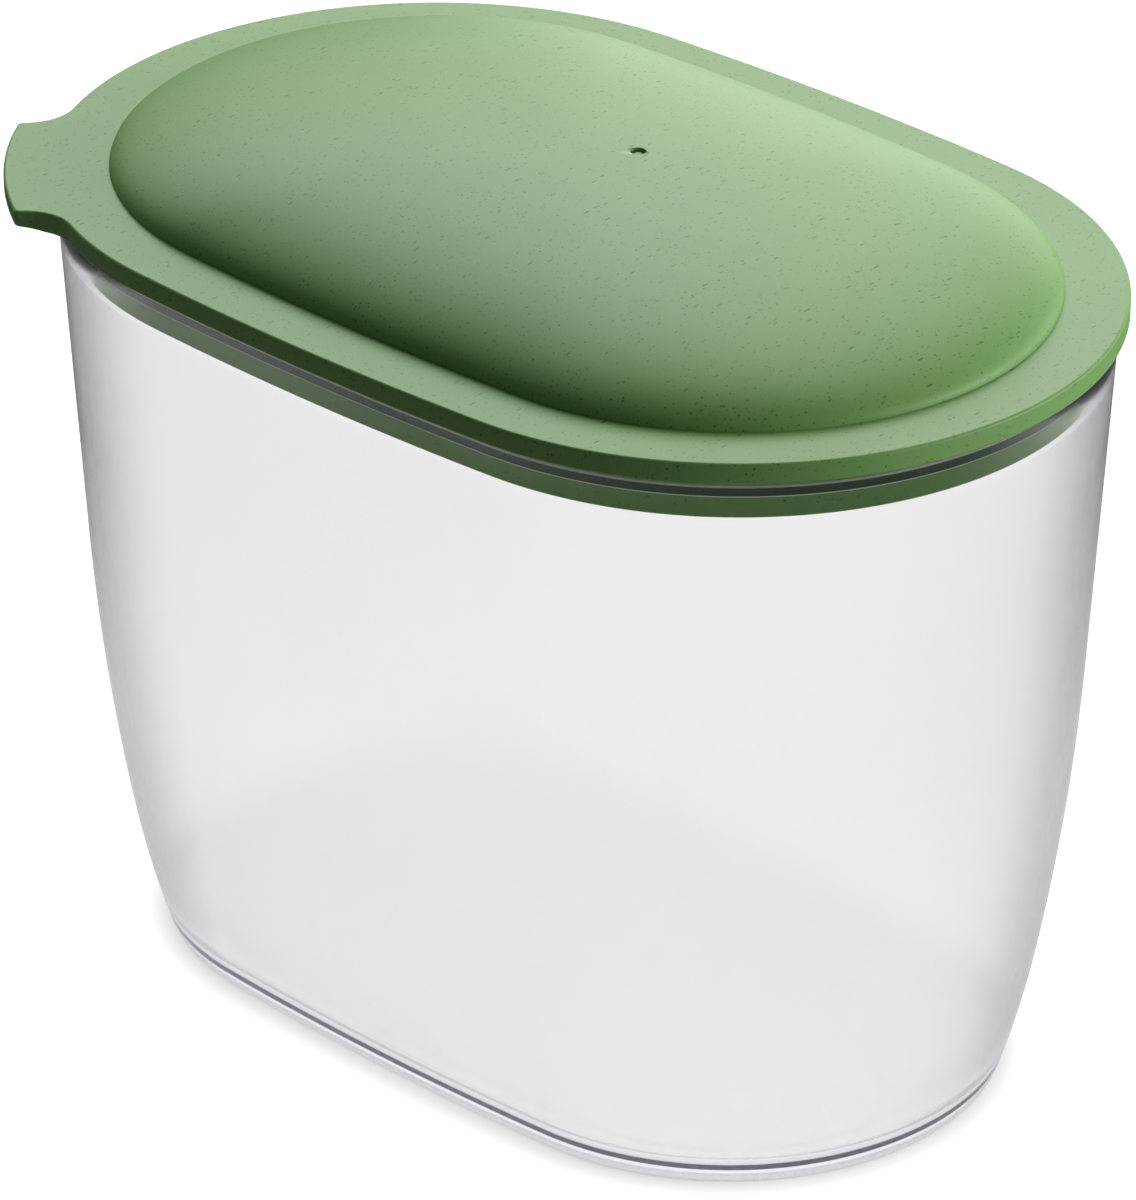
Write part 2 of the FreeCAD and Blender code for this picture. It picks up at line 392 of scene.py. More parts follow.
@dataclass(frozen=True)
class SpeckledPlastic:
    """Matte green plastic filled with plant fibre, which shows as fine dark specks."""

    colour: tuple = (0.140, 0.305, 0.074, 1.0)
    pale_colour: tuple = (0.202, 0.393, 0.124, 1.0)
    speck_colour: tuple = (0.044, 0.140, 0.016, 1.0)
    roughness_low: float = 0.42
    roughness_high: float = 0.56
    specular: float = 0.32
    grain_scale: float = 1900.0
    drift_scale: float = 45.0
    speck_scale: float = 1250.0
    speck_share: float = 0.8
    speck_size: float = 0.31
    faintest: float = 0.6
    fleck_edge: float = 0.2
    mottling: float = 0.6
    fibre_scale: tuple = (900.0, 240.0, 900.0)
    fibre_turns: tuple = (0.4, 1.5, 2.6)
    fibre_share: float = 0.25
    fibre_size: float = 0.22
    bump_height: float = 0.02 * MM
    bump_strength: float = 0.5

    def make(self, grain: bpy.types.NodeTree) -> bpy.types.Material:
        """Build the material.

        Args:
            grain: Node group of the moulded grain.

        Returns:
            The finished material.
        """
        material, board, output = new_material("speckled_green_plastic")
        place = board.add("ShaderNodeTexCoord").outputs["Object"]
        surface = board.grain(grain, place, self)
        mottle = board.add(
            "ShaderNodeMix",
            {"Factor": self.mottling, "A": surface.outputs["Drift"], "B": surface.outputs["Height"]},
            data_type="FLOAT",
        )
        ground = board.blend(mottle.outputs["Result"], self.colour, self.pale_colour)
        spread = board.add(
            "ShaderNodeMapping", {"Vector": place, "Scale": (self.speck_scale,) * 3}
        )
        specks = self.flecks(board, spread.outputs["Vector"], self.speck_share, self.speck_size)
        for turn in self.fibre_turns:
            turned = board.add(
                "ShaderNodeMapping",
                {"Vector": place, "Rotation": (turn, turn / 2, turn), "Scale": self.fibre_scale},
            )
            fibres = self.flecks(board, turned.outputs["Vector"], self.fibre_share, self.fibre_size)
            specks = board.math("MAXIMUM", specks, fibres)
        height = surface.outputs["Height"]
        shader = board.add(
            "ShaderNodeBsdfPrincipled",
            {
                "Base Color": board.blend(specks, ground, self.speck_colour),
                "Roughness": board.span(height, self.roughness_low, self.roughness_high),
                "Specular IOR Level": self.specular,
                "Normal": board.bump(height, self),
            },
        )
        board.tree.links.new(shader.outputs["BSDF"], output.inputs["Surface"])
        return material

    def flecks(
        self, board: NodeBoard, place: bpy.types.NodeSocket, share: float, size: float
    ) -> bpy.types.NodeSocket:
        """Mask of scattered flecks.

        Args:
            board: Board of the material.
            place: Coordinates in cells, one fleck to a cell.
            share: Part of the cells that hold a fleck.
            size: Radius of a fleck in cells.

        Returns:
            A value that is 1 in a fleck and 0 between them.
        """
        cells = board.add("ShaderNodeTexVoronoi", {"Vector": place, "Scale": 1.0, "Randomness": 1.0})
        chance = board.add("ShaderNodeSeparateColor", {"Color": cells.outputs["Color"]})
        reach = board.add(
            "ShaderNodeMapRange",
            {"Value": chance.outputs["Red"], "From Max": share, "To Min": size, "To Max": 0.0},
        )
        inside = board.math("SUBTRACT", reach.outputs["Result"], cells.outputs["Distance"])
        edge = board.add("ShaderNodeMapRange", {"Value": inside, "From Max": size * self.fleck_edge})
        depth = board.span(chance.outputs["Green"], self.faintest, 1.0)
        return board.math("MULTIPLY", edge.outputs["Result"], depth)


@dataclass(frozen=True)
class ClearPlastic:
    """Clear plastic, smooth on the outside and frosted on the inside."""

    colour: tuple = (1.0, 0.997, 0.978, 1.0)
    depth_colour: tuple = (0.80, 0.78, 0.98, 1.0)
    depth_density: float = 32.0
    ior: float = 1.49
    smooth_roughness: float = 0.05
    frost_roughness: float = 0.5
    roughness_drift: float = 0.03
    grain_scale: float = 900.0
    drift_scale: float = 30.0
    bump_height: float = 0.003 * MM
    bump_strength: float = 0.4

    def make(self, grain: bpy.types.NodeTree) -> bpy.types.Material:
        """Build the material.

        Args:
            grain: Node group of the moulded grain.

        Returns:
            The finished material.
        """
        material, board, output = new_material("clear_frosted_plastic")
        place = board.add("ShaderNodeTexCoord").outputs["Object"]
        surface = board.grain(grain, place, self)
        frost = board.add("ShaderNodeAttribute", attribute_name=FROST_LAYER)
        level = board.span(frost.outputs["Fac"], self.smooth_roughness, self.frost_roughness)
        uneven = board.add(
            "ShaderNodeMath",
            {0: surface.outputs["Drift"], 1: self.roughness_drift, 2: level},
            operation="MULTIPLY_ADD",
        )
        height = board.math("MULTIPLY", surface.outputs["Height"], frost.outputs["Fac"])
        shader = board.add(
            "ShaderNodeBsdfPrincipled",
            {
                "Base Color": self.colour,
                "Roughness": uneven.outputs["Value"],
                "IOR": self.ior,
                "Transmission Weight": 1.0,
                "Normal": board.bump(height, self),
            },
        )
        depth = board.add(
            "ShaderNodeVolumeAbsorption", {"Color": self.depth_colour, "Density": self.depth_density}
        )
        board.tree.links.new(shader.outputs["BSDF"], output.inputs["Surface"])
        board.tree.links.new(depth.outputs["Volume"], output.inputs["Volume"])
        return material


@dataclass(frozen=True)
class SealSilicone:
    """Soft dark green silicone, with a painted highlight as a pale band along the edge of each lip."""

    colour: tuple = (0.018, 0.066, 0.018, 1.0)
    cloudy_colour: tuple = (0.028, 0.088, 0.028, 1.0)
    # Colour of the pale bands along the lips: a painted highlight, not the silicone's own colour.
    lip_highlight_colour: tuple = (0.80, 0.88, 0.78, 1.0)
    roughness_low: float = 0.38
    roughness_high: float = 0.52
    specular: float = 0.25
    grain_scale: float = 1200.0
    drift_scale: float = 120.0
    bump_height: float = 0.01 * MM
    bump_strength: float = 0.3

    def make(self, grain: bpy.types.NodeTree) -> bpy.types.Material:
        """Build the material.

        Args:
            grain: Node group of the moulded grain.

        Returns:
            The finished material.
        """
        material, board, output = new_material("seal_silicone")
        place = board.add("ShaderNodeTexCoord").outputs["Object"]
        surface = board.grain(grain, place, self)
        drift = surface.outputs["Drift"]
        lip = board.add("ShaderNodeAttribute", attribute_name=LIP_HIGHLIGHT_LAYER)
        band = board.blend(drift, self.colour, self.cloudy_colour)
        shader = board.add(
            "ShaderNodeBsdfPrincipled",
            {
                # The lip attribute lays the painted highlight colour along the edges of the lips.
                "Base Color": board.blend(lip.outputs["Fac"], band, self.lip_highlight_colour),
                "Roughness": board.span(drift, self.roughness_low, self.roughness_high),
                "Specular IOR Level": self.specular,
                "Normal": board.bump(surface.outputs["Height"], self),
            },
        )
        board.tree.links.new(shader.outputs["BSDF"], output.inputs["Surface"])
        return material


@dataclass(frozen=True)
class Wall:
    """The container's wall as a line from base to rim: tight foot arc, belly arc, straight draft.

    A depth of 0 is the outer face, and other depths are parallel to it, further in.
    """

    rim_height: float = 162.5 * MM
    lid_overhang: float = 1.8 * MM
    draft: float = math.radians(3.2)
    belly_top: float = 88.0 * MM
    belly_radius: float = 505.0 * MM
    foot_top: float = 25.0 * MM
    foot_radius: float = 195.0 * MM
    foot_steps: int = 12
    belly_steps: int = 22
    straight_steps: int = 10

    @property
    def belly_centre(self) -> Vector:
        """Centre of the belly arc."""
        inset = self.lid_overhang + (self.rim_height - self.belly_top) * math.tan(self.draft)
        spot = OVAL.spot(inset, self.belly_top)
        return spot + self.belly_radius * Vector((-math.cos(self.draft), 0, math.sin(self.draft)))

    @property
    def foot_turn(self) -> float:
        """Slope of the wall where the foot arc runs into the belly arc."""
        return math.asin((self.belly_centre.z - self.foot_top) / self.belly_radius)

    @property
    def foot_centre(self) -> Vector:
        """Centre of the foot arc, which is tangent to the belly arc."""
        shift = self.belly_radius - self.foot_radius
        return self.belly_centre + shift * Vector((math.cos(self.foot_turn), 0, -math.sin(self.foot_turn)))

    def straight_spot(self, depth: float, height: float) -> Vector:
        """Point of the straight stretch at a depth and a height."""
        radius = self.belly_radius - depth
        start = self.belly_centre + radius * Vector((math.cos(self.draft), 0, -math.sin(self.draft)))
        start.x += (height - start.z) * math.tan(self.draft)
        start.z = height
        return start

    def corner_centre(self, depth: float, bottom: float, radius: float) -> Vector:
        """Centre of the rounded corner between a flat bottom and the foot arc."""
        reach = self.foot_radius - depth - radius
        centre = self.foot_centre
        slope = math.asin((centre.z - bottom - radius) / reach)
        return centre + reach * Vector((math.cos(slope), 0, -math.sin(slope)))

    def climb(self, pen: Pen, depth: float, bottom: float, radius: float, steps: int, top: float) -> None:
        """Draw the wall upwards from the end of a flat bottom.

        Args:
            pen: Pen whose tip is at the start of the rounded corner.
            depth: Depth of the line below the outer face.
            bottom: Height of the flat bottom.
            radius: Radius of the corner.
            steps: Edges of the corner.
            top: Height at which the line ends.
        """
        corner = self.corner_centre(depth, bottom, radius)
        slope = math.asin((self.foot_centre.z - corner.z) / (self.foot_radius - depth - radius))
        pen.arc(corner, slope - math.pi / 2, steps)
        pen.arc(self.foot_centre, self.foot_turn - slope, self.foot_steps)
        pen.arc(self.belly_centre, self.draft - self.foot_turn, self.belly_steps)
        pen.line(self.straight_spot(depth, top), self.straight_steps)


WALL = Wall()


@dataclass
class Container:
    """One moulding: an even wall, a floor, a standing ring and a recess under the base."""

    thickness: float = 2.6 * MM
    floor: float = 3.4 * MM
    floor_corner: float = 5.0 * MM
    base_corner: float = 1.4 * MM
    rim_edge: float = 0.7 * MM
    standing_ring: float = 9.0 * MM
    recess: float = 0.8 * MM
    frost_top: float = 153.0 * MM
    frost_fade: float = 0.4 * MM
    wall_frost: float = 0.38
    floor_frost: float = 0.33
    ring_frost: float = 1.0
    recess_frost: float = 0.47
    corner_steps: int = 8
    rim_steps: int = 6
    finish: ClearPlastic = field(default_factory=ClearPlastic)

    def outside(self) -> BMesh:
        """The base, the outer wall and the rounded rim, as one skin."""
        bm = bmesh.new()
        start = WALL.corner_centre(0, 0, self.base_corner)
        start.z = 0
        recess_edge = start - Vector((self.standing_ring, 0, 0))
        pen = Pen(bm, recess_edge + UP * self.recess, ACROSS)
        pen.line(recess_edge).line(start)
        edge_height = WALL.rim_height - self.rim_edge
        side = Vector((self.rim_edge / math.cos(WALL.draft), 0, 0))
        outer_edge = WALL.straight_spot(0, edge_height) - side
        inner_edge = WALL.straight_spot(self.thickness, edge_height) + side
        drop = self.rim_edge * math.sin(WALL.draft)
        WALL.climb(pen, 0, 0, self.base_corner, self.corner_steps, edge_height - drop)
        pen.arc(outer_edge, -math.pi / 2 - WALL.draft, self.rim_steps)
        pen.line(inner_edge + UP * self.rim_edge)
        pen.arc(inner_edge, WALL.draft - math.pi / 2, self.rim_steps)
        OVAL.carry(bm)
        return bm

    def inside(self) -> BMesh:
        """The floor's edge and the inner wall, as one skin."""
        bm = bmesh.new()
        start = WALL.corner_centre(self.thickness, self.floor, self.floor_corner)
        start.z = self.floor
        pen = Pen(bm, start, ACROSS)
        WALL.climb(pen, self.thickness, self.floor, self.floor_corner, self.corner_steps, self.frost_top)
        top = WALL.rim_height - self.rim_edge + self.rim_edge * math.sin(WALL.draft)
        for height in (self.frost_top + self.frost_fade, top):
            pen.line(WALL.straight_spot(self.thickness, height))
        OVAL.carry(bm)
        return bm

    def frosting(self, height: float) -> float:
        """Frosting of the inner face at a height: less on the floor and none in the mouth."""
        if height > self.frost_top + NEAR:
            return 0.0
        return self.wall_frost if height > self.floor + NEAR else self.floor_frost

    def build(self, grain: bpy.types.NodeTree) -> bpy.types.Object:
        """Model and dress the container.

        Args:
            grain: Node group of the moulded grain.

        Returns:
            The finished piece.
        """
        shell = Shell()
        shell.take(self.inside())
        shell.fill_level(self.floor)
        frost = shell.bm.verts.layers.float.new(FROST_LAYER)
        for vert in shell.bm.verts:
            vert[frost] = self.frosting(vert.co.z)
        shell.take(self.outside())
        shell.join()
        shell.fill_level(self.recess)
        for vert in shell.bm.verts:
            if vert.co.z < NEAR:
                vert[frost] = self.ring_frost
            elif abs(vert.co.z - self.recess) < NEAR:
                vert[frost] = self.recess_frost
        piece = shell.piece("jar_container")
        piece.data.materials.append(self.finish.make(grain))
        settle(piece, Body.CONTAINER, "container")
        return piece


@dataclass
class Tab:
    """Pull tab on the rounded end of the lid, thinner towards its tip."""

    angle: float = math.radians(226.0)
    width: float = 41.0 * MM
    reach: float = 8.2 * MM
    tip_thickness: float = 2.8 * MM
    blend: float = 10.0 * MM
    corner: float = 1.2 * MM
    blend_steps: int = 12
    corner_steps: int = 6
    tip_steps: int = 16

    @property
    def along(self) -> Vector:
        """Direction from the end arc's centre to the tab."""
        return Vector((math.cos(self.angle), math.sin(self.angle), 0))

    @property
    def root(self) -> Vector:
        """Point of the end arc under the middle of the tab."""
        return Vector((-OVAL.end_centre, 0, 0)) + OVAL.end_radius * self.along

    def draw(self, pen: Pen, height: float) -> None:
        """Draw one rounded end of the lid with the tab, anticlockwise.

        Args:
            pen: Pen whose tip is at the start of the -X end arc.
            height: Height of the outline.
        """
        centre = Vector((-OVAL.end_centre, 0, height))
        side = Vector((-self.along.y, self.along.x, 0))
        half = self.width / 2
        tip = OVAL.end_radius + self.reach
        blend_angle = math.asin((half + self.blend) / (OVAL.end_radius + self.blend))
        blend_x = (OVAL.end_radius + self.blend) * math.cos(blend_angle)
        corner_angle = math.asin((half - self.corner) / (tip - self.corner))
        corner_x = (tip - self.corner) * math.cos(corner_angle)
        quarter = math.pi / 2
        start = math.pi - OVAL.end_turn / 2
        before = self.angle - blend_angle - start
        after = math.pi + OVAL.end_turn / 2 - self.angle - blend_angle
        steps_per_turn = OVAL.end_steps / OVAL.end_turn
        blend_foot = centre + self.along * blend_x
        corner_foot = centre + self.along * corner_x
        to_blend = side * (half + self.blend)
        to_corner = side * (half - self.corner)
        pen.arc(centre, before, round(before * steps_per_turn))
        pen.arc(blend_foot - to_blend, blend_angle - quarter, self.blend_steps)
        pen.line(corner_foot - side * half)
        pen.arc(corner_foot - to_corner, quarter - corner_angle, self.corner_steps)
        pen.arc(centre, 2 * corner_angle, self.tip_steps)
        pen.arc(corner_foot + to_corner, quarter - corner_angle, self.corner_steps)
        pen.line(blend_foot + side * half)
        pen.arc(blend_foot + to_blend, blend_angle - quarter, self.blend_steps)
        pen.arc(centre, after, round(after * steps_per_turn))


@dataclass
class GateMark:
    """Small round recess with a nib in the middle, on the dome."""

    spot: tuple = (8.0 * MM, 8.0 * MM)
    radius: float = 1.6 * MM
    depth: float = 1.0 * MM
    nib_radius: float = 0.65 * MM
    nib_height: float = 0.5 * MM
    steps: int = 40

    def cutter(self, surface: float) -> bpy.types.Object:
        """Ring-shaped body that is cut out of the dome.

        Args:
            surface: Height of the dome at the mark.

        Returns:
            An object that is only needed for the cut.
        """
        shell = Shell()
        floor = surface - self.depth
        middle = Vector((*self.spot, 0))
        pen = Pen(shell.bm, middle + UP * (floor + self.nib_height), ACROSS)
        pen.line(middle + Vector((self.nib_radius, 0, floor + self.nib_height)))
        pen.line(middle + Vector((self.nib_radius, 0, floor)))
        pen.line(middle + Vector((self.radius, 0, floor)))
        pen.line(middle + Vector((self.radius, 0, surface + self.depth)))
        pen.line(middle + UP * (surface + self.depth))
        bmesh.ops.spin(
            shell.bm,
            geom=shell.bm.verts[:] + shell.bm.edges[:],
            cent=middle,
            axis=UP,
            angle=2 * math.pi,
            steps=self.steps,
            use_merge=True,
        )
        return shell.piece("gate_cutter")

    def cut(self, piece: bpy.types.Object, surface: float) -> None:
        """Cut the mark into a piece.

        Args:
            piece: Closed piece with the dome.
            surface: Height of the dome at the mark.
        """
        cutter = self.cutter(surface)
        modifier = piece.modifiers.new("gate_mark", "BOOLEAN")
        modifier.operation = "DIFFERENCE"
        modifier.solver = "EXACT"
        modifier.object = cutter
        graph = bpy.context.evaluated_depsgraph_get()
        marked = bpy.data.meshes.new_from_object(piece.evaluated_get(graph))
        piece.modifiers.remove(modifier)
        plain = piece.data
        piece.data = marked
        bpy.data.meshes.remove(plain)
        bpy.data.meshes.remove(cutter.data)


@dataclass
class Lid:
    """One moulding: a flange with a pull tab, a low dome, and a hollow plug with a groove for the seal."""

    flange: float = 4.2 * MM
    flange_edge: float = 0.6 * MM
    under_edge: float = 0.4 * MM
    edge_steps: int = 4
    wall: float = 2.4 * MM
    inner_corner: float = 1.2 * MM
    inner_steps: int = 4
    dome_inset: float = 12.4 * MM
    dome_height: float = 14.2 * MM
    dome_steps: int = 40
    plug_depth: float = 9.2 * MM
    plug_wall: float = 2.8 * MM
    plug_clearance: float = 0.6 * MM
    plug_edge: float = 0.6 * MM
    seal_drop: float = 2.3 * MM
    seal_height: float = 2.5 * MM
    groove_depth: float = 1.2 * MM
    tab: Tab = field(default_factory=Tab)
    gate: GateMark = field(default_factory=GateMark)
    finish: SpeckledPlastic = field(default_factory=SpeckledPlastic)

    @property
    def top(self) -> float:
        """Height of the flange's upper face."""
        return WALL.rim_height + self.flange

    @property
    def ceiling(self) -> float:
        """Height of the flat face inside the plug."""
        return self.top - self.wall

    def mouth(self, clearance: float, height: float) -> Vector:
        """Point of a face that follows the inside of the container's mouth at a clearance."""
        return WALL.straight_spot(Container.thickness + clearance, height)

    def plate(self) -> BMesh:
        """The flange with its tab, open on top inside the rounded edge and open below."""
        bm = bmesh.new()
        arcs = OVAL.arcs()
        pen = Pen(bm, OVAL.start(0, WALL.rim_height), UP)
        for arc in arcs[:2]:
            pen.arc(arc.centre, arc.turn, arc.steps)
        self.tab.draw(pen, WALL.rim_height)
        pen.arc(arcs[3].centre, arcs[3].turn, arcs[3].steps)
        bmesh.ops.remove_doubles(bm, verts=bm.verts[:], dist=NEAR)
        raised = bmesh.ops.extrude_edge_only(bm, edges=bm.edges[:])["geom"]
        upper = picked(raised, BMVert)
        bmesh.ops.translate(bm, verts=upper, vec=UP * self.flange)
        everything = bm.verts[:] + bm.edges[:] + bm.faces[:]
        bmesh.ops.bisect_plane(
            bm, geom=everything, dist=NEAR, plane_co=self.tab.root, plane_no=self.tab.along
        )
        foot = self.thin_tab(bm)
        self.round_off(bm, foot, self.under_edge)
        rim = edges_at(bm, self.top)
        bmesh.ops.contextual_create(bm, geom=rim)
        self.round_off(bm, rim, self.flange_edge)
        for height in (WALL.rim_height, self.top):
            level = [face for face in bm.faces if all(abs(v.co.z - height) < NEAR for v in face.verts)]
            bmesh.ops.delete(bm, geom=level, context="FACES_ONLY")
        return bm

    def round_off(self, bm: BMesh, edges: list[BMEdge], radius: float) -> None:
        """Round an outer edge of the flange."""
        bmesh.ops.bevel(
            bm,
            geom=edges,
            offset=radius,
            offset_type="OFFSET",
            affect="EDGES",
            segments=self.edge_steps,
            profile=ROUND_PROFILE,
            material=-1,
        )

    def thin_tab(self, bm: BMesh) -> list[BMEdge]:
        """Raise the tab's underside towards its tip, and close the underside of the flange.

        Args:
            bm: Side wall of the flange, cut at the root of the tab.

        Returns:
            Lower outer edges of the flange and the tab.
        """
        slope = (self.flange - self.tab.tip_thickness) / self.tab.reach
        low = [v for v in bm.verts if abs(v.co.z - WALL.rim_height) < NEAR]
        outline = [edge for edge in bm.edges if all(v in low for v in edge.verts)]
        reach = {v: (v.co - self.tab.root).dot(self.tab.along) for v in low}
        root = bmesh.ops.contextual_create(bm, geom=[v for v in low if abs(reach[v]) < 2 * NEAR])["edges"]
        on_tab = [edge for edge in outline if all(reach[v] > -2 * NEAR for v in edge.verts)]
        on_flange = [edge for edge in outline if edge not in on_tab]
        for vert in low:
            bmesh.ops.translate(bm, verts=[vert], vec=UP * max(reach[vert], 0) * slope)
        bmesh.ops.contextual_create(bm, geom=on_tab + root)
        bmesh.ops.contextual_create(bm, geom=on_flange + root)
        return outline

    def dome(self, bm: BMesh, loop: list[BMEdge], height: float) -> None:
        """Raise an elliptical dome on an oval loop: rings that shrink towards the middle as they rise.

        Args:
            bm: Mesh that holds the loop.
            loop: Edges of the dome's foot.
            height: Rise of the dome.
        """
        for step in range(self.dome_steps):
            lower, upper = (math.pi / 2 * (step + more) / self.dome_steps for more in (0, 1))
            raised = bmesh.ops.extrude_edge_only(bm, edges=loop)["geom"]
            ring = picked(raised, BMVert)
            members = set(ring)
            loop = [edge for edge in picked(raised, BMEdge) if members.issuperset(edge.verts)]
            shrink = math.cos(upper) / math.cos(lower)
            bmesh.ops.scale(bm, verts=ring, vec=Vector((shrink, shrink, 1)))
            bmesh.ops.translate(bm, verts=ring, vec=UP * height * (math.sin(upper) - math.sin(lower)))
        crown = Vector((0, 0, ring[0].co.z))
        bmesh.ops.pointmerge(bm, verts=ring, merge_co=crown)

    def upper_dome(self) -> BMesh:
        """The dome that shows from above."""
        bm = bmesh.new()
        pen = Pen(bm, OVAL.start(self.dome_inset, self.top), UP)
        for arc in OVAL.arcs():
            pen.arc(arc.centre, arc.turn, arc.steps)
        bmesh.ops.remove_doubles(bm, verts=bm.verts[:], dist=NEAR)
        self.dome(bm, bm.edges[:], self.dome_height)
        return bm

    def plug(self) -> BMesh:
        """The plug, the flat face inside it and the hollow under the dome."""
        bm = bmesh.new()
        rim = WALL.rim_height
        bottom = rim - self.plug_depth
        seal_top = rim - self.seal_drop
        seal_bottom = seal_top - self.seal_height
        groove = self.plug_clearance + self.groove_depth
        inner_x = self.mouth(self.plug_clearance + self.plug_wall, rim).x
        pen = Pen(bm, self.mouth(self.plug_clearance, rim), ACROSS)
        pen.line(self.mouth(self.plug_clearance, seal_top)).line(self.mouth(groove, seal_top))
        pen.line(self.mouth(groove, seal_bottom)).line(self.mouth(self.plug_clearance, seal_bottom))
        edge = self.mouth(self.plug_clearance, bottom + self.plug_edge)
        edge.x -= self.plug_edge / math.cos(WALL.draft)
        pen.line(self.mouth(self.plug_clearance, edge.z - self.plug_edge * math.sin(WALL.draft)))
        pen.arc(edge, math.pi / 2 - WALL.draft, self.inner_steps)
        pen.line(Vector((inner_x, 0, bottom)))
        corner = Vector((inner_x - self.inner_corner, 0, self.ceiling - self.inner_corner))
        pen.line(corner + Vector((self.inner_corner, 0, 0)))
        pen.arc(corner, -math.pi / 2, self.inner_steps)
        pen.line(OVAL.spot(self.dome_inset + self.wall, self.ceiling))
        OVAL.carry(bm)
        foot = [edge for edge in edges_at(bm, self.ceiling) if edge.is_boundary]
        self.dome(bm, foot, self.dome_height)
        return bm

    def build(self, grain: bpy.types.NodeTree) -> bpy.types.Object:
        """Model and dress the lid.

        Args:
            grain: Node group of the moulded grain.

        Returns:
            The finished piece.
        """
        shell = Shell()
        shell.take(self.plate())
        shell.take(self.upper_dome())
        shell.fill_level(self.top)
        shell.take(self.plug())
        shell.fill_level(WALL.rim_height)
        piece = shell.piece("jar_lid")
        across = OVAL.width / 2 - self.dome_inset
        along = OVAL.length / 2 - self.dome_inset
        level = math.hypot(self.gate.spot[0] / along, self.gate.spot[1] / across)
        self.gate.cut(piece, self.top + self.dome_height * math.sqrt(1 - level**2))
        piece.data.materials.clear()
        piece.data.materials.append(self.finish.make(grain))
        even_flats(piece)
        settle(piece, Body.LID, "lid")
        return piece


@dataclass
class SealRing:
    """Soft ring in the groove of the lid's plug."""

    fit: float = 0.05 * MM
    clearance: float = 0.15 * MM
    lip: float = 0.5 * MM
    # Width of the painted highlight band along the edge of each lip.
    lip_highlight_width: float = 0.36 * MM
    lip_steps: int = 5
    band_steps: int = 6
    finish: SealSilicone = field(default_factory=SealSilicone)

    def build(self, lid: Lid, grain: bpy.types.NodeTree) -> bpy.types.Object:
        """Model and dress the ring.

        Args:
            lid: Lid whose groove holds the ring.
            grain: Node group of the moulded grain.

        Returns:
            The finished piece.
        """
        top = WALL.rim_height - lid.seal_drop - self.fit
        bottom = top - lid.seal_height + 2 * self.fit
        back = lid.plug_clearance + lid.groove_depth - self.fit
        shell = Shell()
        side = Vector((self.lip / math.cos(WALL.draft), 0, 0))
        lower = lid.mouth(self.clearance, bottom + self.lip) - side
        upper = lid.mouth(self.clearance, top - self.lip) - side
        pen = Pen(shell.bm, lid.mouth(back, bottom), ACROSS)
        pen.line(lower - UP * self.lip)
        pen.arc(lower, WALL.draft - math.pi / 2, self.lip_steps)
        pen.line(lid.mouth(self.clearance, upper.z - self.lip * math.sin(WALL.draft)), self.band_steps)
        pen.arc(upper, -math.pi / 2 - WALL.draft, self.lip_steps)
        pen.line(lid.mouth(back, top)).line(lid.mouth(back, bottom))
        OVAL.carry(shell.bm)
        # Mark the lip edges, where the material paints a pale highlight.
        lip = shell.bm.verts.layers.float.new(LIP_HIGHLIGHT_LAYER)
        middle = (top + bottom) / 2
        band = (top - bottom) / 2 - self.lip_highlight_width
        for vert in shell.bm.verts:
            vert[lip] = float(abs(vert.co.z - middle) > band)
        piece = shell.piece("jar_seal_ring")
        piece.data.materials.append(self.finish.make(grain))
        settle(piece, Body.LID, "seal_ring")
        return piece


@dataclass(frozen=True)
class Lamp:
    """Soft lamp that faces the jar. White paper in plain light has a radiance of 1."""

    name: str
    spot: tuple
    size: tuple
    radiance: float

    def hang(self, aim: Vector) -> None:
        """Hang the lamp so that it faces a point."""
        data = bpy.data.lights.new(self.name, "AREA")
        data.shape = "RECTANGLE"
        data.size, data.size_y = self.size
        data.energy = math.pi * self.radiance * data.size * data.size_y
        made = bpy.data.objects.new(self.name, data)
        made.location = self.spot
        made.rotation_mode = "QUATERNION"
        made.rotation_quaternion = (aim - made.location).to_track_quat("-Z", "Y")
        made.visible_transmission = False
        bpy.context.scene.collection.objects.link(made)


